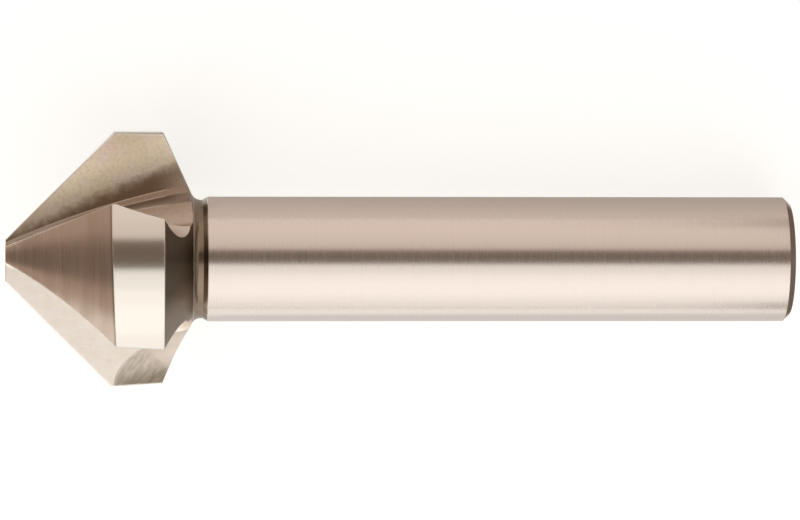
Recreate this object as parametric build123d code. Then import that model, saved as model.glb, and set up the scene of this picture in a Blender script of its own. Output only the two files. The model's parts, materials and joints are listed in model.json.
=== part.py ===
from build123d import *

import os
from math import asin, atan, atan2, cos, degrees, hypot, radians, sin, sqrt, tan

# A three-flute 90 degree countersink bit, turned, fluted and relief-ground from one bar of tool steel.
#
# Lengths are millimetres. The bit is built about its own axis, +X, with the tip face at X = 0, and is
# then laid down as it rests: on two corners of its head and the lower rim of its shank end.
# Angles round the axis are counted from +Z towards +Y. A flute is drawn in its own section, where
# "across" is +Y and "out" is +Z, away from the axis.

# Driving dimensions
HEAD_DIAMETER = 20.5
SHANK_DIAMETER = 10.0
OVERALL_LENGTH = 63.0
TIP_DIAMETER = 3.6
POINT_ANGLE = 90.0
FLUTE_COUNT = 3

# Head and neck
LAND_LENGTH = 4.11
BACK_SLOPE = 24.6
NECK_DEPTH = 0.25
NECK_LENGTH = 0.65
NECK_FILLET = 0.8
SHANK_LEAD_IN = 0.38
END_CHAMFER = 0.5

# Flute: the rake face, a floor in two levels with a small step between them, and a hollow back wall
RAKE_LEAN = 18.1
RAKE_AHEAD = 0.355
WEB_AT_TIP = 0.45
FLOOR_RISE = 0.35
ROOT_RADIUS_FRONT = 0.25
ROOT_RADIUS_BACK = 1.5
STEP_SLOPE = 40.0
STEP_FRONT = 0.12
STEP_GROWTH = 0.041
LEDGE_AT_TIP = 0.2
LEDGE_GROWTH = 0.035
WALL_FOOT_AT_TIP = 1.3
WALL_FOOT_SLOPE = 0.274
WALL_FOOT_CURVE = 45.7
WALL_RADIUS_FRONT = 15.0
WALL_RADIUS_BACK = 5.0
HEEL_ANGLE = 35.0
HEEL_TWIST = 0.36

# Run-out: the round edge of the wheel leaves through the back cone, skewed into the tooth
RUNOUT_EDGE_RADIUS = 3.3
RUNOUT_WHEEL_RADIUS = 18.7
RUNOUT_BEHIND_LAND = 6.25
RUNOUT_OVER_SHANK = 0.08
RUNOUT_ACROSS = -2.33
RUNOUT_SKEW = 15.3

# Relief: the cone falls away behind each cutting edge, from a little way into the flute ahead of it
RELIEF_SHIFT = 0.51
RELIEF_AHEAD = 8.0
RELIEF_LEAD = 28.0

# How near a corner of the solid must be to its worked-out place to be taken as that corner
TOUCH = 0.001

# How far the tools that cut the head reach past it: ahead of the tip, behind the land, and outwards
CUT_AHEAD = 1.5
CUT_BEHIND = 5.0
CUT_OVER = 2.0

# Worked out from the above
head_radius = HEAD_DIAMETER / 2
shank_radius = SHANK_DIAMETER / 2
tip_radius = TIP_DIAMETER / 2
neck_radius = shank_radius - NECK_DEPTH
cone_slope = tan(radians(POINT_ANGLE / 2))
land_start = (head_radius - tip_radius) / cone_slope
land_end = land_start + LAND_LENGTH
tooth_angle = 360 / FLUTE_COUNT
cutter_front = -CUT_AHEAD
cutter_back = land_end + CUT_BEHIND
cutter_top = head_radius + CUT_OVER


def section_plane(x):
    """The plane across the bit at x, with its own x axis along +Y and its own y axis along +Z."""
    return Plane(origin=(x, 0, 0), x_dir=(0, 1, 0), z_dir=(1, 0, 0))


def rake_across(out):
    """Where the rake face is across the flute at this distance out, the same all along the bit."""
    return RAKE_AHEAD / cos(radians(RAKE_LEAN)) - out * tan(radians(RAKE_LEAN))


def blend(x, front, back):
    """A value that changes evenly along the cutter's way, from its front end to its back end."""
    return front + (back - front) * (x - cutter_front) / (cutter_back - cutter_front)


def blank():
    """The turned blank: tip face, cone, land, back cone, neck and shank."""
    neck_start = land_end + (head_radius - neck_radius) * tan(radians(BACK_SLOPE))
    shank_start = neck_start + NECK_LENGTH
    outline = Polyline(
        (0, 0),
        (0, tip_radius),
        (land_start, head_radius),
        (land_end, head_radius),
        (neck_start, neck_radius),
        (shank_start, neck_radius),
        (shank_start + SHANK_LEAD_IN, shank_radius),
        (OVERALL_LENGTH - END_CHAMFER, shank_radius),
        (OVERALL_LENGTH, shank_radius - END_CHAMFER),
        (OVERALL_LENGTH, 0),
        close=True,
    )
    profile = make_face(outline)
    neck_corner = profile.vertices().sort_by_distance(Vector(neck_start, neck_radius))[0]
    return revolve(fillet(neck_corner, NECK_FILLET), Axis.X)


def flute_section(x):
    """A closed face across one flute space at x, on the plane across the bit."""
    floor = WEB_AT_TIP + FLOOR_RISE * x
    wall_foot = WALL_FOOT_AT_TIP + WALL_FOOT_SLOPE * x - x**2 / (2 * WALL_FOOT_CURVE)
    step_top = wall_foot - LEDGE_AT_TIP - LEDGE_GROWTH * x
    step = STEP_FRONT + STEP_GROWTH * (x - cutter_front)
    step_foot = step_top - step * cos(radians(STEP_SLOPE))
    low_floor = floor - step * sin(radians(STEP_SLOPE))

    # the back wall is an arc from its foot to the heel, which is on the head's largest radius
    heel_angle = radians(HEEL_ANGLE + HEEL_TWIST * (land_end - x))
    foot = Vector(wall_foot, floor)
    heel = Vector(head_radius * sin(heel_angle), head_radius * cos(heel_angle))
    wall_radius = blend(x, WALL_RADIUS_FRONT, WALL_RADIUS_BACK)
    chord = heel - foot
    hollow = wall_radius - sqrt(wall_radius**2 - (chord.length / 2) ** 2)
    deepest = (foot + heel) / 2 + Vector(chord.Y, -chord.X).normalized() * hollow
    wall = ThreePointArc(foot, deepest, heel)
    beyond_heel = heel + (wall % 1) * 2 * CUT_OVER

    root = (rake_across(low_floor), low_floor)
    floor_line = Polyline(
        (rake_across(cutter_top), cutter_top), root, (step_foot, low_floor), (step_top, floor), foot
    )
    top_line = Polyline(heel, beyond_heel, (rake_across(cutter_top), cutter_top))
    face = make_face([floor_line, wall, top_line])
    root_corner = face.vertices().sort_by_distance(Vector(*root))[0]
    face = fillet(root_corner, blend(x, ROOT_RADIUS_FRONT, ROOT_RADIUS_BACK))
    return section_plane(x) * face


def flute():
    """One flute space, swept smoothly through its sections from ahead of the tip to behind the head."""
    return loft([flute_section(x) for x in (cutter_front, land_start, cutter_back)])


def run_out():
    """What the round edge of the wheel takes out of the tooth and the back cone as it leaves."""
    wheel_edge = Rot(Z=-RUNOUT_SKEW) * Rot(X=90) * Torus(RUNOUT_WHEEL_RADIUS, RUNOUT_EDGE_RADIUS)
    lowest = shank_radius + RUNOUT_OVER_SHANK
    height = lowest + RUNOUT_EDGE_RADIUS + RUNOUT_WHEEL_RADIUS
    return Pos(land_end + RUNOUT_BEHIND_LAND, RUNOUT_ACROSS, height) * wheel_edge


def relief_cut():
    """What is ground off one tooth: a sector outside a cone that is shifted towards the edge."""
    edge_angle = degrees(asin(RAKE_AHEAD / head_radius)) - RAKE_LEAN
    shift_angle = edge_angle + RELIEF_AHEAD
    shift_along = RELIEF_SHIFT * cos(radians(RELIEF_AHEAD)) / cone_slope
    apex = shift_along - tip_radius / cone_slope
    base = apex + cutter_top / cone_slope
    kept = revolve(make_face(Polyline((apex, 0), (base, cutter_top), (base, 0), close=True)), Axis.X)
    kept = Pos(
        0,
        RELIEF_SHIFT * sin(radians(shift_angle)),
        RELIEF_SHIFT * cos(radians(shift_angle)),
    ) * kept

    # the cone is lowered most at the heel, where it runs out on the land this far back
    run_out = land_start + 3 * RELIEF_SHIFT
    outline = Polyline(
        (cutter_front, 0), (cutter_front, cutter_top), (run_out, cutter_top), (run_out, 0), close=True
    )
    sector = revolve(make_face(outline), Axis.X, revolution_arc=tooth_angle)
    # a part turn about +X starts in the XY plane, a quarter turn from +Z, and goes towards +Z
    quarter_turn = 90
    sector = Rot(X=quarter_turn - edge_angle - RELIEF_LEAD) * sector
    return sector - kept


def bit_about_axis():
    """The finished bit about its own axis."""
    bit = blank()
    for index in range(FLUTE_COUNT):
        bit -= Rot(X=tooth_angle * index) * relief_cut()
    for index in range(FLUTE_COUNT):
        bit -= Rot(X=tooth_angle * index) * flute()
        bit -= Rot(X=tooth_angle * index) * run_out()
    return bit


def at_rest(bit):
    """Lay the bit down on one flute gap and its shank end, centred over the origin, tip towards -X."""
    corners = [
        degrees(atan2(corner.Y, corner.Z))
        for corner in bit.vertices()
        if abs(corner.X - land_end) < TOUCH and abs(hypot(corner.Y, corner.Z) - head_radius) < TOUCH
    ]
    edge_side = max(angle for angle in corners if angle < 0)
    heel_side = min(angle for angle in corners if angle > 0)
    half_gap = (heel_side - edge_side) / 2
    head_drop = head_radius * cos(radians(half_gap))
    reach = OVERALL_LENGTH - END_CHAMFER - land_end
    tilt = degrees(atan((head_drop - shank_radius) / reach))
    lying = Rot(Y=tilt) * Rot(X=(heel_side + edge_side) / 2 - 180) * bit
    box = lying.bounding_box()
    return Pos(-box.center().X, -box.center().Y, -box.min.Z) * lying


def main():
    bit = at_rest(bit_about_axis())
    os.makedirs("parts", exist_ok=True)
    export_step(bit, "parts/countersink_bit.step")
    print("solids:", len(bit.solids()), "volume:", round(bit.volume, 1), "box:", bit.bounding_box())


main()
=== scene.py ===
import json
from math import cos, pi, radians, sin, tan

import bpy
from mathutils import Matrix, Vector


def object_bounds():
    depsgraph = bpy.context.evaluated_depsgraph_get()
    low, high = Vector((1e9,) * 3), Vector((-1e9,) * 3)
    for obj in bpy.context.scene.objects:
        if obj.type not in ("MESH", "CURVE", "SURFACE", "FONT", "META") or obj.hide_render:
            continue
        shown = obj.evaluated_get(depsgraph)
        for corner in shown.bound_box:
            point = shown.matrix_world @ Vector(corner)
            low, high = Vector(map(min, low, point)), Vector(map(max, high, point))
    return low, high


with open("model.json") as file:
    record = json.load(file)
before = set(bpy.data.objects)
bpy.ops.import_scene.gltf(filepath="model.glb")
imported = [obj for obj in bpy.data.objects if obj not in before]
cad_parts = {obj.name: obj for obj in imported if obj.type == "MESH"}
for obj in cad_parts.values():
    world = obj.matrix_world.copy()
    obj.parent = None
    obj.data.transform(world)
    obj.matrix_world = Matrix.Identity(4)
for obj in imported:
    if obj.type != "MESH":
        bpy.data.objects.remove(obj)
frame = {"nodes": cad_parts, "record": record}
cad_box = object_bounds()

# %% [markdown]
# A countersink bit is one piece of high-speed steel: a round shank, a narrow neck, and a head with a
# steep back cone, a short straight land and a cone that three flutes cut through. The solid already
# has the right shape, so this lesson leaves it alone and works on what its steel looks like. A
# different tool has been over each part of the bit, and each left its own marks.

MM = 0.001
bit = frame["nodes"]["countersink_bit"]
print("box of the solid in mm:", [[round(c / MM, 2) for c in corner] for corner in cad_box])

# %% [markdown]
# The bit lies tilted, because its head is fatter than its shank. Every mark on it follows its own axis
# and not the floor, so the first thing to find is that axis. It could be measured from the mesh, but the
# part already states it: the shank and the shank's end are mounts with a place and a direction. Lengths
# along the bit are then counted from the tip, as a tool grinder counts them.

# %% The bit's own axis
OVERALL_LENGTH = 63.0 * MM
mounts = {mount["name"]: mount for mount in frame["record"]["mounts"]}
axis_direction = Vector(mounts["shank"]["axis"]).normalized()
tip_point = Vector(mounts["shank_end"]["pos_m"]) - axis_direction * OVERALL_LENGTH
side_direction = Vector((0.0, 1.0, 0.0))
up_direction = axis_direction.cross(side_direction).normalized()
print("tip at", [round(c / MM, 2) for c in tip_point], "axis", [round(c, 3) for c in axis_direction])

# %% [markdown]
# A material in Blender is a small machine of nodes, and each can be placed and wired by hand in the
# Shader Editor. This steel needs about two hundred of them, so it is quicker to write them down. The
# class here does what wiring comes to: it adds a node, and sets or links each of its sockets.

# %% A short way to wire nodes
def shown(sockets):
    """The sockets that a node shows at its present setting. A Mix node hides those of other kinds."""
    return [socket for socket in sockets if socket.enabled]


class Wiring:
    """Adds nodes to one material or world and links them."""

    def __init__(self, owner):
        self.tree = owner.node_tree
        self.tree.nodes.clear()

    def add(self, kind, **settings):
        """A new node of a kind, with its settings."""
        node = self.tree.nodes.new(kind)
        for name, value in settings.items():
            setattr(node, name, value)
        return node

    def feed(self, socket, value):
        """Links the socket where the value is another socket, or else sets it to the value."""
        if isinstance(value, bpy.types.NodeSocket):
            self.tree.links.new(value, socket)
        else:
            socket.default_value = value

    def result(self, kind, values, **settings):
        """What a new node makes of these values: the socket of its first result."""
        node = self.add(kind, **settings)
        for socket, value in zip(shown(node.inputs), values):
            self.feed(socket, value)
        return shown(node.outputs)[0]

    def calc(self, operation, *values, **settings):
        """A sum on numbers."""
        return self.result("ShaderNodeMath", values, operation=operation, **settings)

    def vector(self, operation, *values):
        """A sum on vectors."""
        return self.result("ShaderNodeVectorMath", values, operation=operation)


print("ready to wire nodes for", bit.name)

# %% [markdown]
# The real bit is one bar of one steel, so one material serves all of it. It could be several materials
# on groups of faces, but then every border between two finishes would be as hard as the edge of a face.

# %% A material for the steel
def new_material(name):
    """A material whose nodes are still to be wired."""
    material = bpy.data.materials.new(name)
    material.use_nodes = True
    return material


steel = new_material("ground_high_speed_steel")
steel_wiring = Wiring(steel)
calc, vector = steel_wiring.calc, steel_wiring.vector
print("new material:", steel.name)

# %% [markdown]
# On a lathe or a cylindrical grinder the work turns, so every mark is a ring round the axis. Flat UV
# maps would break those rings at their seams. It is simpler to ask each point how far along the bit it
# is, how far from the axis, and at what angle round it, and to build all marks on those three numbers.

# %% Places on the bit, in millimetres
def combine(x, y, z):
    """One vector from three numbers."""
    return steel_wiring.result("ShaderNodeCombineXYZ", (x, y, z))


position = steel_wiring.add("ShaderNodeTexCoord").outputs["Object"]
from_tip = vector("SCALE", vector("SUBTRACT", position, tuple(tip_point)), 1 / MM)
along = vector("DOT_PRODUCT", from_tip, tuple(axis_direction))
sideways = vector("DOT_PRODUCT", from_tip, tuple(side_direction))
upward = vector("DOT_PRODUCT", from_tip, tuple(up_direction))
place = combine(along, sideways, upward)
from_axis = vector("LENGTH", combine(sideways, upward, 0.0))
around = calc("ARCTAN2", sideways, upward)
flat_normal = steel_wiring.add("ShaderNodeNewGeometry").outputs["True Normal"]
faces_along = vector("DOT_PRODUCT", flat_normal, tuple(axis_direction))
print("nodes for the places:", len(steel.node_tree.nodes))

# %% [markdown]
# The three flutes are alike and a third of a turn apart. Each could be given its own masks, but it is
# less work to wrap the angle round the axis into one third of a turn: that lays the three flutes over
# each other, and what is worked out for one is there in all. In that shared flute, "across" runs over
# its width and "out" away from the axis.

# %% Places in a flute
FLUTE_TURN = 54.1
OWN_FROM, OWN_TO = -50.0, 70.0
turned_back = calc("SUBTRACT", around, radians(FLUTE_TURN))
own_angle = calc("WRAP", turned_back, radians(OWN_TO), radians(OWN_FROM))
across = calc("MULTIPLY", from_axis, calc("SINE", own_angle))
out = calc("MULTIPLY", from_axis, calc("COSINE", own_angle))
own_place = combine(along, across, out)
print("one flute takes", OWN_TO - OWN_FROM, "degrees")

# %% [markdown]
# A flute's section is a leaning cutting face, a low floor, a small slanting step up to a narrow ledge,
# and a hollow wall behind it. The floor climbs towards the shank, and the foot of the wall swings away
# from the cutting edge. So each of these lines is a straight line or a gentle curve in "along", and how
# far a point is past it tells later which face the point is on.

# %% Lines in a flute
FLOOR_CLIMB, FLOOR_AT_TIP = 0.35, 0.45
FOOT_SWING, FOOT_AT_TIP, FOOT_CURVE = 0.274, 1.3, 0.01094
LEDGE_GROWTH, LEDGE_AT_TIP = 0.035, 0.2
STEP_GROWTH, STEP_AT_TIP = 0.0314, 0.139


def plus(a, b):
    return calc("ADD", a, b)


def less(a, b):
    return calc("SUBTRACT", a, b)


def times(a, b):
    return calc("MULTIPLY", a, b)


def line(value, slope, start):
    """A straight line: the value times a slope, plus a start."""
    return calc("MULTIPLY_ADD", value, slope, start)


above_floor = less(out, line(along, FLOOR_CLIMB, FLOOR_AT_TIP))
foot = less(line(along, FOOT_SWING, FOOT_AT_TIP), times(calc("POWER", along, 2.0), FOOT_CURVE))
past_foot = less(across, foot)
past_ledge = plus(past_foot, line(along, LEDGE_GROWTH, LEDGE_AT_TIP))
past_step = plus(past_ledge, line(along, STEP_GROWTH, STEP_AT_TIP))
print("nodes with the flute's lines:", len(steel.node_tree.nodes))

# %% [markdown]
# Turned and ground zones. Separate material slots could split the bit, but its faces are small and
# its zones soft at their borders. Masks do better: a number that is 1 in a zone and 0 outside. The cone
# faces the tip at 45 degrees, the back cone faces the shank, the land is the largest radius there is,
# and the neck and the shank are told apart by their place along the bit.

# %% Turned zones
HEAD_RADIUS = 10.25
LAND_END = 12.56
NECK_START = 15.08
SHANK_START = 16.11


def between(value, low, high):
    """0 at low, 1 at high and beyond, and a smooth step from one to the other. Low may be the larger."""
    return steel_wiring.result(
        "ShaderNodeMapRange", (value, low, high), interpolation_type="SMOOTHSTEP"
    )


def both(a, b):
    """1 where both masks are 1."""
    return times(a, b)


def larger(a, b):
    """The larger of two numbers. Of two masks, it is 1 where either is."""
    return calc("MAXIMUM", a, b)


is_cone = both(between(faces_along, -0.5, -0.6), between(along, LAND_END, LAND_END - 0.1))
is_back = both(between(faces_along, 0.8, 0.88), between(along, NECK_START, NECK_START - 0.1))
is_land = between(from_axis, HEAD_RADIUS - 0.05, HEAD_RADIUS - 0.02)
is_behind = between(along, NECK_START - 0.15, NECK_START)
is_shank = between(along, SHANK_START - 0.1, SHANK_START)
is_turned = larger(larger(is_cone, is_back), larger(is_land, is_behind))
print("the land ends at", LAND_END, "mm and the shank starts at", SHANK_START, "mm")

# %% [markdown]
# Where the flute wheel left the steel, its round edge cut a hollow whose every point is 3.3 mm from
# the circle that runs inside the wheel's rim. The hollow faces many ways, so its normal doesn't tell it
# apart, but that distance does: it takes a dozen nodes to measure it.

# %% Where the wheel ran out
WHEEL_EDGE = 3.3
WHEEL_RADIUS = 18.7
WHEEL_CENTRE = (LAND_END + 6.25, -2.33, 27.08)
WHEEL_SKEW = radians(15.3)
from_wheel = vector("SUBTRACT", own_place, WHEEL_CENTRE)
wheel_way = vector("DOT_PRODUCT", from_wheel, (cos(WHEEL_SKEW), -sin(WHEEL_SKEW), 0.0))
wheel_side = vector("DOT_PRODUCT", from_wheel, (sin(WHEEL_SKEW), cos(WHEEL_SKEW), 0.0))
wheel_up = vector("DOT_PRODUCT", from_wheel, (0.0, 0.0, 1.0))
from_circle = less(vector("LENGTH", combine(wheel_way, wheel_up, 0.0)), WHEEL_RADIUS)
edge_gap = less(vector("LENGTH", combine(from_circle, wheel_side, 0.0)), WHEEL_EDGE)
is_run_out = between(calc("ABSOLUTE", edge_gap), 0.06, 0.03)
print("wheel centre over the shared flute, in mm:", [round(c, 2) for c in WHEEL_CENTRE])

# %% [markdown]
# What is left of the head belongs to the flutes. The cutting face is a plane that leans back over the
# floor, so its points are near one straight line in "out". The wall, the ledge and the step lie
# between the lines found above. What is in none of them is the low floor.

# %% Zones in a flute
RAKE_SLOPE, RAKE_AT_AXIS = -0.3268, 0.3735
is_flute = calc("SUBTRACT", 1.0, larger(is_turned, is_run_out), use_clamp=True)
rake_gap = less(across, line(out, RAKE_SLOPE, RAKE_AT_AXIS))
is_rake = both(is_flute, between(calc("ABSOLUTE", rake_gap), 0.08, 0.04))
is_wall = both(is_flute, between(past_foot, -0.02, 0.08))
is_ledge = both(both(is_flute, between(past_ledge, -0.03, 0.03)), between(past_foot, 0.08, -0.02))
is_step = both(both(is_flute, between(past_step, -0.03, 0.03)), between(past_ledge, 0.03, -0.03))
print("nodes with all zones:", len(steel.node_tree.nodes))

# %% [markdown]
# Ring marks could be a wave texture, but waves repeat evenly and real rings don't. A noise that changes
# quickly along the bit and slowly round it gives rings of all widths that fade in and out. The marks
# of the flute wheel are the same noise, with its slow direction along the flute. Where the wheel ran
# out it chattered, and left coarse ripples across its way.

# %% Rings and wheel marks
STREAK_DETAIL, STREAK_ROUGHNESS = 3.0, 0.6
FINE_SPEED, BROAD_SPEED, WHEEL_SPEED, RIPPLE_SPEED = 9.0, 1.3, 3.5, 4.5
# the ripples lie across the wheel's way out of the steel, and each runs along a line of its own
WAY_OUT = (0.766, -0.262, 0.587)
RIPPLE_LINE = (0.643, 0.312, -0.699)


def noise(coordinates, scale, detail, rough):
    """A cloudy noise: detail is how many finer ones lie in it, and rough is how strong those are."""
    return steel_wiring.result("ShaderNodeTexNoise", (coordinates, scale, detail, rough))


def streaks(coordinates, speeds):
    """A noise drawn out into lines: quick along the coordinate whose speed is high, slow along others."""
    spread = combine(*(times(coordinate, speed) for coordinate, speed in zip(coordinates, speeds)))
    return noise(spread, 1.0, STREAK_DETAIL, STREAK_ROUGHNESS)


side_share = calc("DIVIDE", sideways, from_axis)
up_share = calc("DIVIDE", upward, from_axis)
fine_rings = streaks((along, side_share, up_share), (FINE_SPEED, 0.5, 0.5))
broad_rings = streaks((along, side_share, up_share), (BROAD_SPEED, 0.8, 0.8))
wheel_marks = streaks((past_foot, along, above_floor), (WHEEL_SPEED, 0.35, WHEEL_SPEED))
on_way_out = vector("DOT_PRODUCT", own_place, WAY_OUT)
on_ripple = vector("DOT_PRODUCT", own_place, RIPPLE_LINE)
ripples = streaks((on_way_out, on_ripple, across), (RIPPLE_SPEED, 0.9, 0.4))
print("changes a millimetre: fine rings", FINE_SPEED, "and ripples", RIPPLE_SPEED)

# %% [markdown]
# The flute walls are also mottled: the wheel left dull grains on them, and heat left paler and yellower
# patches. Neither has a direction, so three plain noises of different sizes are enough.

# %% Grains, mottle and patches
grains = noise(place, 3.6, 3.0, 0.7)
mottle = noise(place, 1.3, 4.0, 0.65)
patches = noise(place, 0.55, 3.0, 0.6)
print("nodes with all marks:", len(steel.node_tree.nodes))

# %% [markdown]
# The back wall of a flute is the most worked face of the bit. Ground steel is a pale, warm grey, with
# straw-coloured patches and greyer grains. In the corner at the wall's foot, brown painted shade darkens
# the steel, where the wall and the floor shade each other. The painted shade grows taller towards the
# shank, and ends where the wheel lifted. Its ragged upper edge comes from adding the mottle to the height
# above the floor.

# %% Colours of the flute wall
WALL_PALE = (0.90, 0.78, 0.69, 1.0)
WALL_STRAW = (0.88, 0.79, 0.61, 1.0)
WALL_GREY = (0.66, 0.59, 0.49, 1.0)
# the brown of the painted shade in the flutes' corners
ROOT_PAINTED_SHADE = (0.22, 0.14, 0.085, 1.0)
ROOT_SHADE_GROWTH, ROOT_SHADE_AT_TIP, ROOT_SHADE_LEAST = 0.09, -0.2, 0.1


def mix(factor, a, b):
    """A blend of two numbers: a where the factor is 0, b where it is 1."""
    return steel_wiring.result("ShaderNodeMix", (factor, a, b), data_type="FLOAT")


def mix_colour(factor, a, b):
    """A blend of two colours: a where the factor is 0, b where it is 1."""
    return steel_wiring.result("ShaderNodeMix", (factor, a, b), data_type="RGBA")


wall_colour = mix_colour(between(patches, 0.35, 0.6), WALL_PALE, WALL_STRAW)
wall_colour = mix_colour(times(between(grains, 0.42, 0.72), 0.5), wall_colour, WALL_GREY)
# painted shade: the corner at the wall's foot is darkened brown, deepest near the floor
root_shade_top = larger(line(along, ROOT_SHADE_GROWTH, ROOT_SHADE_AT_TIP), ROOT_SHADE_LEAST)
root_shade_edge = plus(less(above_floor, root_shade_top), line(mottle, 0.9, -0.45))
root_shade_fade = between(along, 15.0, 11.5)
deep_root_shade = both(between(root_shade_edge, 0.9, -0.3), line(root_shade_fade, 0.4, 0.55))
faint_root_shade = times(between(root_shade_edge, 2.4, 0.2), 0.26)
wall_colour = mix_colour(larger(deep_root_shade, faint_root_shade), wall_colour, ROOT_PAINTED_SHADE)
root_shade_at_land_end = ROOT_SHADE_GROWTH * LAND_END + ROOT_SHADE_AT_TIP
print("the stain stands", round(root_shade_at_land_end, 2), "mm high at the end of the land")

# %% [markdown]
# The floor has the same steel, a little darker, with painted shade towards the step. The step and the
# ledge get some of the same painted shade. The cutting face was ground last and finest, and is the
# cleanest of all.

# %% Colours of the floor, ledge, step and cutting face
FLOOR_STEEL = (0.78, 0.68, 0.60, 1.0)
RAKE_STEEL = (0.87, 0.82, 0.76, 1.0)
RAKE_STRAW = (0.84, 0.78, 0.69, 1.0)
floor_colour = mix_colour(between(grains, 0.4, 0.7), FLOOR_STEEL, WALL_GREY)
flute_colour = mix_colour(is_wall, floor_colour, wall_colour)
# painted shade: the floor grows browner towards the foot of the step
low_floor_shade = times(between(past_step, -2.5, 0.3), 0.35)
flute_colour = mix_colour(both(less(1.0, is_wall), low_floor_shade), flute_colour, ROOT_PAINTED_SHADE)
# painted shade on the ledge, and on the step, deepest next to the ledge
flute_colour = mix_colour(times(is_ledge, 0.2), flute_colour, ROOT_PAINTED_SHADE)
step_shade = both(between(past_ledge, -0.5, -0.12), between(along, 14.6, 12.6))
flute_colour = mix_colour(both(is_step, line(step_shade, 0.65, 0.15)), flute_colour, ROOT_PAINTED_SHADE)
rake_colour = mix_colour(between(mottle, 0.4, 0.65), RAKE_STEEL, RAKE_STRAW)
flute_colour = mix_colour(is_rake, flute_colour, rake_colour)
print("nodes with the flute's colours:", len(steel.node_tree.nodes))

# %% [markdown]
# In the run-out only the part near the rim was cut by the wheel's worn corner, and is coarse and grey
# between its ripples, with painted shade that darkens it towards the rim. A slanting line in "along" and
# "out" marks where that part begins, and the mottle makes it ragged. Further in, the hollow is smooth and
# pale.

# %% Colours of the run-out
RUN_OUT_PALE = (0.74, 0.66, 0.58, 1.0)
RUN_OUT_DARK = (0.48, 0.43, 0.35, 1.0)
coarse_edge = plus(less(out, line(along, 0.83, -2.4)), line(mottle, 1.2, -0.6))
coarse = both(is_run_out, between(coarse_edge, -0.45, 0.35))
# painted shade: the coarse part grows darker towards the rim
outer_shade = line(between(out, 7.2, 9.6), 0.55, 0.1)
furrow_shade = line(between(ripples, 0.35, 0.65), 0.6, -0.1)
ripple_shade = both(coarse, plus(outer_shade, furrow_shade))
run_out_colour = mix_colour(ripple_shade, RUN_OUT_PALE, RUN_OUT_DARK)
print("nodes with the run-out's colours:", len(steel.node_tree.nodes))

# %% [markdown]
# The cone is relief-ground with a coarser wheel, and its rings differ a little in tone. Next to the
# land it has a thin dark line, where the two grindings meet. The back cone and the neck mirror the
# shaded shank and floor, and a dark brown painted shade stands for that on them. It is deepest in the
# middle of each tooth, away from the flutes on both sides of it.

# %% Colours of the cone and the back cone
CONE_PALE = (0.66, 0.535, 0.445, 1.0)
CONE_DARK = (0.58, 0.46, 0.37, 1.0)
CONE_RIM = (0.30, 0.22, 0.16, 1.0)
# dark brown painted shade on the back cone, and a deeper painted shade for the middle of each tooth
BACK_PAINTED_SHADE = (0.22, 0.165, 0.115, 1.0)
BACK_PAINTED_SHADE_DEEP = (0.085, 0.058, 0.032, 1.0)
cone_colour = mix_colour(between(broad_rings, 0.3, 0.7), CONE_PALE, CONE_DARK)
rim = between(from_axis, HEAD_RADIUS - 0.25, HEAD_RADIUS - 0.1)
cone_colour = mix_colour(times(rim, 0.7), cone_colour, CONE_RIM)
# a tooth lies on both sides of the place where the angle in the shared flute jumps back
before_jump = between(own_angle, radians(47), radians(66))
after_jump = between(own_angle, radians(-12), radians(-34))
back_colour = mix_colour(larger(before_jump, after_jump), BACK_PAINTED_SHADE, BACK_PAINTED_SHADE_DEEP)
print("nodes with the cone's colours:", len(steel.node_tree.nodes))

# %% [markdown]
# Now the zones go over each other like coats of paint, each through its own mask: first the flute,
# then what lies on top of it. The land comes last, so that no softer zone blurs its crisp edges.

# %% All colours together
# the neck's dark brown is painted shade, as on the back cone
NECK_PAINTED_SHADE = (0.25, 0.195, 0.145, 1.0)
SHANK_STEEL = (0.74, 0.68, 0.63, 1.0)
LAND_STEEL = (0.79, 0.76, 0.70, 1.0)
coats = [
    (is_run_out, run_out_colour), (is_cone, cone_colour), (is_back, back_colour),
    (is_behind, NECK_PAINTED_SHADE), (is_shank, SHANK_STEEL), (is_land, LAND_STEEL),
]
colour = flute_colour
for mask, coat in coats:
    colour = mix_colour(mask, colour, coat)
print("coats over the flute:", len(coats))

# %% [markdown]
# Where two ground faces meet, the edge is brightened in colour: a bright, slightly ragged painted
# highlight for its glint. Real bevels on the solid would change its mesh, so the Bevel node does it in
# the shading: it gives the normal that the edge would have if it were rounded. Where that differs from
# the flat normal, there is an edge. Behind the land the edges are soft and dark, so the radius fades out
# there.

# %% Bright edges
EDGE_HIGHLIGHT = (0.95, 0.91, 0.86, 1.0)
EDGE_RADIUS = 0.18 * MM
BEVEL_RAYS = 6
edge_fade = between(along, LAND_END + 0.6, LAND_END + 0.2)
bevel = steel_wiring.add("ShaderNodeBevel", samples=BEVEL_RAYS)
steel_wiring.feed(bevel.inputs["Radius"], times(edge_fade, EDGE_RADIUS))
round_normal = bevel.outputs["Normal"]
sharpness = less(1.0, vector("DOT_PRODUCT", round_normal, flat_normal))
is_highlit_edge = both(between(sharpness, 0.015, 0.06), between(grains, 0.3, 0.5))
is_highlit_edge = both(is_highlit_edge, between(along, LAND_END + 0.3, LAND_END))
# painted highlight: the ragged edge line is brightened in colour for the edge's glint
colour = mix_colour(times(is_highlit_edge, 0.8), colour, EDGE_HIGHLIGHT)
print("edge radius in mm:", round(EDGE_RADIUS / MM, 2))

# %% [markdown]
# The finest marks are too small to be seen one by one, and only blur what the steel mirrors: that is
# its roughness. The land is the smoothest, the rings make the cone and the shank vary from place
# to place, and the back cone and the run-out are dull.

# %% Roughness
roughness = mix(is_wall, 0.42, line(grains, 0.2, 0.38))
dull_coats = [
    (is_rake, 0.3), (is_run_out, 0.45), (is_cone, line(fine_rings, 0.2, 0.2)),
    (is_back, 0.34), (is_behind, line(fine_rings, 0.1, 0.21)), (is_land, 0.2),
]
for mask, dullness in dull_coats:
    roughness = mix(mask, roughness, dullness)
print("zones with their own roughness:", len(dull_coats) + 1)

# %% [markdown]
# The coarser marks are heights. Displacing the mesh would need millions of faces for furrows of about a
# hundredth of a millimetre, and only their slopes can be seen. A Bump node tilts the shading normal by
# those slopes. It starts from the rounded normal, so that edges and marks come together.

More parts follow.
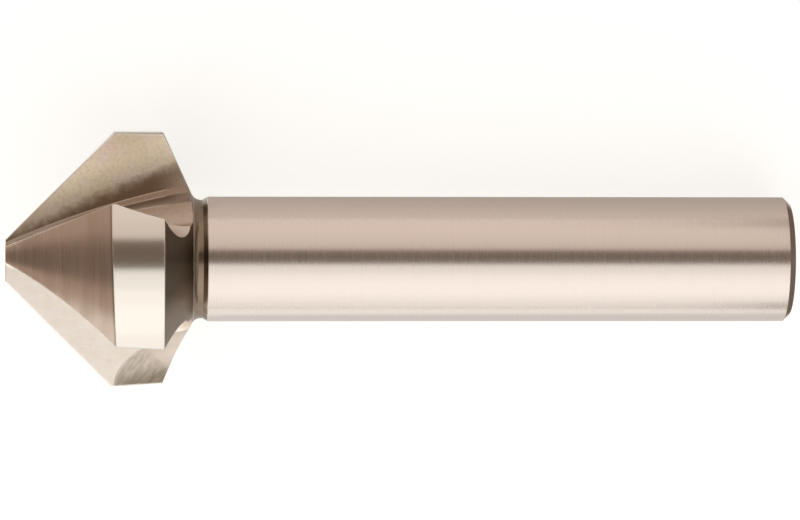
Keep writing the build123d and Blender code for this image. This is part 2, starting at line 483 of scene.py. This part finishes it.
# %% Bump
RELIEF_DEPTH = 0.02 * MM
RELIEF_STRENGTH = 0.5
ring_height = times(fine_rings, mix(is_cone, 0.35, 0.7))
grain_height = times(grains, mix(is_wall, 0.25, 1.2))
flute_height = plus(times(wheel_marks, 0.8), grain_height)
ripple_height = times(ripples, mix(coarse, 0.6, 3.5))
height = mix(is_run_out, mix(is_turned, flute_height, ring_height), ripple_height)
bump = steel_wiring.add("ShaderNodeBump")
bump.inputs["Strength"].default_value = RELIEF_STRENGTH
bump.inputs["Distance"].default_value = RELIEF_DEPTH
steel_wiring.feed(bump.inputs["Normal"], round_normal)
steel_wiring.feed(bump.inputs["Height"], height)
print("relief in hundredths of a millimetre:", round(RELIEF_DEPTH / MM * 100 * RELIEF_STRENGTH, 2))

# %% [markdown]
# Fine rings blur a reflection more along the bit than round it. A finer bump would do that too, but
# would need many more samples to render clean. The Principled shader has Anisotropic for it, and takes
# the direction from Tangent. The bit's axis serves for the whole of it, so one vector is enough.

# %% Steel
shader = steel_wiring.add("ShaderNodeBsdfPrincipled")
shader.inputs["Metallic"].default_value = 1.0
shader.inputs["Anisotropic"].default_value = 0.4
steel_wiring.feed(shader.inputs["Base Color"], colour)
steel_wiring.feed(shader.inputs["Roughness"], roughness)
steel_wiring.feed(shader.inputs["Tangent"], combine(*axis_direction))
steel_wiring.feed(shader.inputs["Normal"], bump.outputs["Normal"])
surface = steel_wiring.add("ShaderNodeOutputMaterial").inputs["Surface"]
steel_wiring.feed(surface, shader.outputs["BSDF"])
bit.material_slots[0].material = steel
print("nodes in the steel:", len(steel.node_tree.nodes))

# %% [markdown]
# Everything round the bit is made of flat sheets: the floor, the room and the boards. None of them is
# part of the bit. A plane from Blender's Add menu would have to be scaled and turned, but four corners
# say at once where a sheet lies.

# %% Sheets for the studio
def sheet(name, corners, material):
    """One flat sheet that is part of the studio and not of the bit."""
    mesh = bpy.data.meshes.new(name)
    mesh.from_pydata(corners, [], [(0, 1, 2, 3)])
    mesh.materials.append(material)
    piece = bpy.data.objects.new(name, mesh)
    bpy.context.scene.collection.objects.link(piece)
    return piece


def square(half):
    """The corners of a square round the middle, seen from above."""
    return [(-half, -half), (half, -half), (half, half), (-half, half)]


print("corners of a square metre:", square(0.5))

# %% [markdown]
# The floor is plain and pale. The lamps give it most of its brightness, so that it keeps the shadow of
# the bit, and a little glow of its own lifts it to white. A brighter lamp would do that too, but it
# would burn out the steel. So the glow is there only for the camera and for what the steel mirrors, and
# lights nothing.

# %% Floor
PAPER_WHITE = (1.0, 0.985, 0.955, 1.0)
FLOOR_GREY = (0.5, 0.5, 0.49, 1.0)
FLOOR_GLOW = 0.72
FLOOR_HALF = 1.5


def seen_or_mirrored(wiring):
    """1 for rays from the camera and for what metal mirrors, 0 for light on its way to a surface."""
    ray = wiring.add("ShaderNodeLightPath").outputs
    mirrored = wiring.calc("MAXIMUM", ray["Is Glossy Ray"], ray["Is Transmission Ray"])
    return wiring.calc("MAXIMUM", ray["Is Camera Ray"], mirrored)


pale = new_material("pale_floor")
pale_wiring = Wiring(pale)
matt = pale_wiring.add("ShaderNodeBsdfDiffuse")
matt.inputs["Color"].default_value = FLOOR_GREY
glow = pale_wiring.add("ShaderNodeEmission")
glow.inputs["Color"].default_value = PAPER_WHITE
glow_strength = pale_wiring.calc("MULTIPLY", seen_or_mirrored(pale_wiring), FLOOR_GLOW)
pale_wiring.feed(glow.inputs["Strength"], glow_strength)
matt_and_glow = pale_wiring.result("ShaderNodeAddShader", (matt.outputs[0], glow.outputs[0]))
pale_wiring.feed(pale_wiring.add("ShaderNodeOutputMaterial").inputs["Surface"], matt_and_glow)
sheet("floor", [(*corner, 0) for corner in square(FLOOR_HALF)], pale)
print("floor, metres across:", 2 * FLOOR_HALF)

# %% [markdown]
# Bright metal shows nothing but its surroundings, so steel is lit with what it mirrors. Two soft boxes
# hang over the bit, a bright one in front and a dimmer, warmer one behind, with a gap between them. The
# dark ceiling shows through the gap, and is the dark stripe along the shank and the land. A real soft
# box is brightest in its middle, but an area lamp is even all over, so each box is made of strips.

# %% Soft boxes
BOX_DISTANCE = 0.6
BOX_WIDTH = 1.2
# each strip: where it starts and ends, in degrees from straight up towards +Y, and its brightness
BRIGHT_STRIPS = [(-88, -72, 0.94), (-72, -58, 1.05), (-58, -30, 1.14), (-30, -14, 1.07), (-14, 4, 0.92)]
WARM_STRIPS = [(30, 46, 0.64), (46, 60, 0.69), (60, 92, 0.74)]
BRIGHT_TINT = (1.0, 0.99, 0.98)
WARM_TINT = (1.0, 0.89, 0.82)


def soft_box(name, low_edge, high_edge, radiance, tint):
    """A strip of lamp that fills the bit's view from one angle to the other."""
    middle = radians((low_edge + high_edge) / 2)
    lamp = bpy.data.lights.new(name, "AREA")
    lamp.shape = "RECTANGLE"
    height = 2 * BOX_DISTANCE * tan(radians((high_edge - low_edge) / 2))
    lamp.size = BOX_WIDTH
    lamp.size_y = height
    lamp.energy = radiance * pi * BOX_WIDTH * height
    lamp.color = tint
    holder = bpy.data.objects.new(name, lamp)
    bpy.context.scene.collection.objects.link(holder)
    holder.location = (0.0, BOX_DISTANCE * sin(middle), BOX_DISTANCE * cos(middle))
    holder.rotation_euler = (-middle, 0.0, 0.0)


for low, high, brightness in BRIGHT_STRIPS:
    soft_box("bright_box", low, high, brightness, BRIGHT_TINT)
for low, high, brightness in WARM_STRIPS:
    soft_box("warm_box", low, high, brightness, WARM_TINT)
print("strips of lamp:", len(BRIGHT_STRIPS) + len(WARM_STRIPS))

# %% [markdown]
# What else the steel mirrors is set with boards, as a photographer's black and grey cards do. Painted
# boards would change with every lamp, so these glow with one fixed tone. They are kept out of the
# camera's view and out of the light on the floor, and only metal sees them.

# %% Boards
def glowing(name, tint):
    """A finish that always looks the same, whatever light falls on it."""
    material = new_material(name)
    wiring = Wiring(material)
    emission = wiring.add("ShaderNodeEmission")
    emission.inputs["Color"].default_value = (*tint, 1.0)
    wiring.feed(wiring.add("ShaderNodeOutputMaterial").inputs["Surface"], emission.outputs[0])
    return material


dark = glowing("dark_board", (0.162, 0.117, 0.088))
brown = glowing("brown_card", (0.47, 0.37, 0.31))
grey = glowing("grey_wall", (0.55, 0.52, 0.49))


def board(name, corners, finish=dark):
    """A sheet that only metal sees."""
    piece = sheet(name, corners, finish)
    piece.visible_camera = False
    piece.visible_diffuse = False
    piece.visible_shadow = False


def upright(name, start, end, height, finish=dark):
    """A board that stands on the floor from one point to another."""
    board(name, [(*start, 0), (*end, 0), (*end, height), (*start, height)], finish)


print("finishes for boards:", dark.name, brown.name, grey.name)

# %% [markdown]
# A room closes the studio, so that the steel mirrors no white world beyond the lamps. Light passes
# through an area lamp from behind, so the ceiling and the two walls behind the soft boxes have to be
# dark, and only the two walls beyond the ends of the bit are grey.

# %% Room
ROOM_HALF = 1.4
ROOM_HEIGHT = 1.3
room_corners = square(ROOM_HALF)
for index, finish in enumerate((grey, dark, grey, dark)):
    upright("room_wall", room_corners[index - 1], room_corners[index], ROOM_HEIGHT, finish)
board("ceiling", [(*corner, ROOM_HEIGHT) for corner in room_corners])
print("room, metres across:", 2 * ROOM_HALF)

# %% [markdown]
# The cone, and the chamfer at the shank's end, mirror what stands beyond the ends of the bit. A low dark
# board past the tip gives the cone its dark middle, and one past the shank darkens the chamfer. Brown
# screens on both sides of the tip's board let the cone grow lighter away from its middle.

# %% Boards beyond the ends
TIP_BOARD_GAP = 0.035
TIP_BOARD_HEIGHT = 0.06
# from the near side to the far side: screen, board, screen
TIP_BOARD_EDGES = (-0.026, -0.012, 0.010, 0.25)
END_BOARD_GAP = 0.015
END_BOARD_HALF = 0.1
END_BOARD_HEIGHT = 0.025
tip_side = cad_box[0][0] - TIP_BOARD_GAP
end_side = cad_box[1][0] + END_BOARD_GAP
tip_edges = [(tip_side, edge) for edge in TIP_BOARD_EDGES]
upright("tip_board", tip_edges[1], tip_edges[2], TIP_BOARD_HEIGHT)
upright("end_board", (end_side, -END_BOARD_HALF), (end_side, END_BOARD_HALF), END_BOARD_HEIGHT)
upright("tip_screen", tip_edges[2], tip_edges[3], TIP_BOARD_HEIGHT, brown)
upright("tip_screen", tip_edges[0], tip_edges[1], TIP_BOARD_HEIGHT, brown)
print("boards stand at x =", round(tip_side, 4), "and", round(end_side, 4))

# %% [markdown]
# The flanks of the shank mirror the floor, and a white floor would make them glare. Cards on the floor
# take that away, tan ones on the far side and paler ones on the near side. Close to the bit the floor is
# in its shade and looks darker to it, so the cards are laid in strips whose tone rises with distance.

# %% Cards beside the shank
CARD_HALF = 0.2
CARD_HEIGHT = 0.2 * MM
HEAD_BACK = -0.0165
FAR_TINT = (1.0, 0.86, 0.78)
NEAR_TINT = (1.0, 0.95, 0.93)
# each strip: its near and far edge in metres from the middle line, and its tone
FAR_TONES = [
    (0.004, 0.007, 0.49), (0.007, 0.010, 0.54), (0.010, 0.014, 0.59), (0.014, 0.019, 0.63),
    (0.019, 0.026, 0.67), (0.026, 0.040, 0.70), (0.040, 0.500, 0.73),
]
NEAR_TONES = [(0.004, 0.008, 0.70), (0.008, 0.012, 0.74), (0.012, 0.018, 0.78), (0.018, 0.030, 0.82)]


def lay_card(name, low, high, tint, start=-CARD_HALF, end=CARD_HALF, height=CARD_HEIGHT):
    """A card that lies on the floor: low and high bound it along Y, start and end along X."""
    corners = [(start, low), (end, low), (end, high), (start, high)]
    board(name, [(*corner, height) for corner in corners], glowing(name, tint))


for near, far, tone in FAR_TONES:
    lay_card("far_card", near, far, [tone * part for part in FAR_TINT], start=HEAD_BACK)
for near, far, tone in NEAR_TONES:
    lay_card("near_card", -far, -near, [tone * part for part in NEAR_TINT], start=HEAD_BACK)
print("cards beside the shank:", len(FAR_TONES) + len(NEAR_TONES))

# %% [markdown]
# Four more cards do the same for the head and the chamfer. A tan one behind the head keeps the floor's
# glare off the cone and the flute wall. A darker one close behind the head and a greyer one in front of
# it stand for its shade, and a dark one past the shank's end keeps the chamfer dark. A card that lies on
# another is a little higher, because two sheets at the same height would show through each other.

# %% Cards at the head and the end
TOP_CARD_HEIGHT = 0.4 * MM
HEAD_REACH = 0.0112
HEAD_CARD_FAR, HEAD_TAN = 0.5, (0.62, 0.53, 0.46)
HEAD_SHADE_FAR, HEAD_SHADE_START, HEAD_SHADE_BROWN = 0.017, -0.03, (0.2, 0.17, 0.15)
NEAR_SHADE_FAR, NEAR_SHADE_START, NEAR_SHADE_GREY = 0.016, -0.034, (0.5, 0.46, 0.46)
END_CARD_LEAD, END_CARD_END, END_CARD_HALF = 0.013, 0.1, 0.016
lay_card("head_card", HEAD_REACH, HEAD_CARD_FAR, HEAD_TAN, end=HEAD_BACK)
lay_card(
    "head_shade", HEAD_REACH, HEAD_SHADE_FAR, HEAD_SHADE_BROWN,
    HEAD_SHADE_START, HEAD_BACK, TOP_CARD_HEIGHT,
)
lay_card(
    "near_shade", -NEAR_SHADE_FAR, -HEAD_REACH, NEAR_SHADE_GREY,
    NEAR_SHADE_START, HEAD_BACK, TOP_CARD_HEIGHT,
)
end_card_start = end_side - END_CARD_LEAD
end_corners = [
    (end_card_start, -END_CARD_HALF), (END_CARD_END, -END_CARD_HALF),
    (END_CARD_END, END_CARD_HALF), (end_card_start, END_CARD_HALF),
]
board("end_card", [(*corner, TOP_CARD_HEIGHT) for corner in end_corners])
print("end card starts at x =", round(end_card_start, 4))

# %% [markdown]
# The world is white for the camera and in reflections, as an endless paper roll is, and adds only a
# faint even light to the lamps.

# %% World
WORLD_LIGHT = 0.15
world = bpy.data.worlds.new("studio")
bpy.context.scene.world = world
world.use_nodes = True
world_wiring = Wiring(world)
background = world_wiring.add("ShaderNodeBackground")
background.inputs["Color"].default_value = PAPER_WHITE
world_glow = world_wiring.calc("MULTIPLY", seen_or_mirrored(world_wiring), 1.0 - WORLD_LIGHT)
world_wiring.feed(background.inputs["Strength"], world_wiring.calc("ADD", world_glow, WORLD_LIGHT))
world_output = world_wiring.add("ShaderNodeOutputWorld")
world_wiring.feed(world_output.inputs["Surface"], background.outputs["Background"])
print("light from the world:", WORLD_LIGHT)

# %% [markdown]
# The camera looks nearly straight down, from a little over the far side of the bit, so the picture's up
# is +Y. A Track To constraint could aim it, but it can't be given a small roll as easily. Three
# directions, right, top and back, say it all, and they are the columns of the camera's matrix.

# %% Camera
CAMERA_TURN = radians(3.0)
CAMERA_ELEVATION = radians(76.77)
CAMERA_ROLL = radians(0.9)
CAMERA_DISTANCE = 0.4
PIXELS_PER_METRE = 12458.0
PICTURE_WIDTH = 800
SENSOR_WIDTH = 36.0
AIM = Vector((0.0, 0.0, 0.008))
camera_data = bpy.data.cameras.new("camera")
camera_data.sensor_width = SENSOR_WIDTH
camera_data.lens = SENSOR_WIDTH * PIXELS_PER_METRE * CAMERA_DISTANCE / PICTURE_WIDTH
camera = bpy.data.objects.new("camera", camera_data)
bpy.context.scene.collection.objects.link(camera)
flat_reach = cos(CAMERA_ELEVATION)
back = Vector((flat_reach * sin(CAMERA_TURN), flat_reach * cos(CAMERA_TURN), sin(CAMERA_ELEVATION)))
right = (-back).cross(side_direction).normalized()
top = right.cross(-back).normalized()
rolled_right = right * cos(CAMERA_ROLL) + top * sin(CAMERA_ROLL)
rolled_top = top * cos(CAMERA_ROLL) - right * sin(CAMERA_ROLL)
turned = Matrix((rolled_right, rolled_top, back)).transposed().to_4x4()
camera.matrix_world = Matrix.Translation(AIM + back * CAMERA_DISTANCE) @ turned
bpy.context.scene.camera = camera
bpy.context.scene.view_settings.view_transform = "Standard"
print("lens in mm:", round(camera_data.lens, 1))
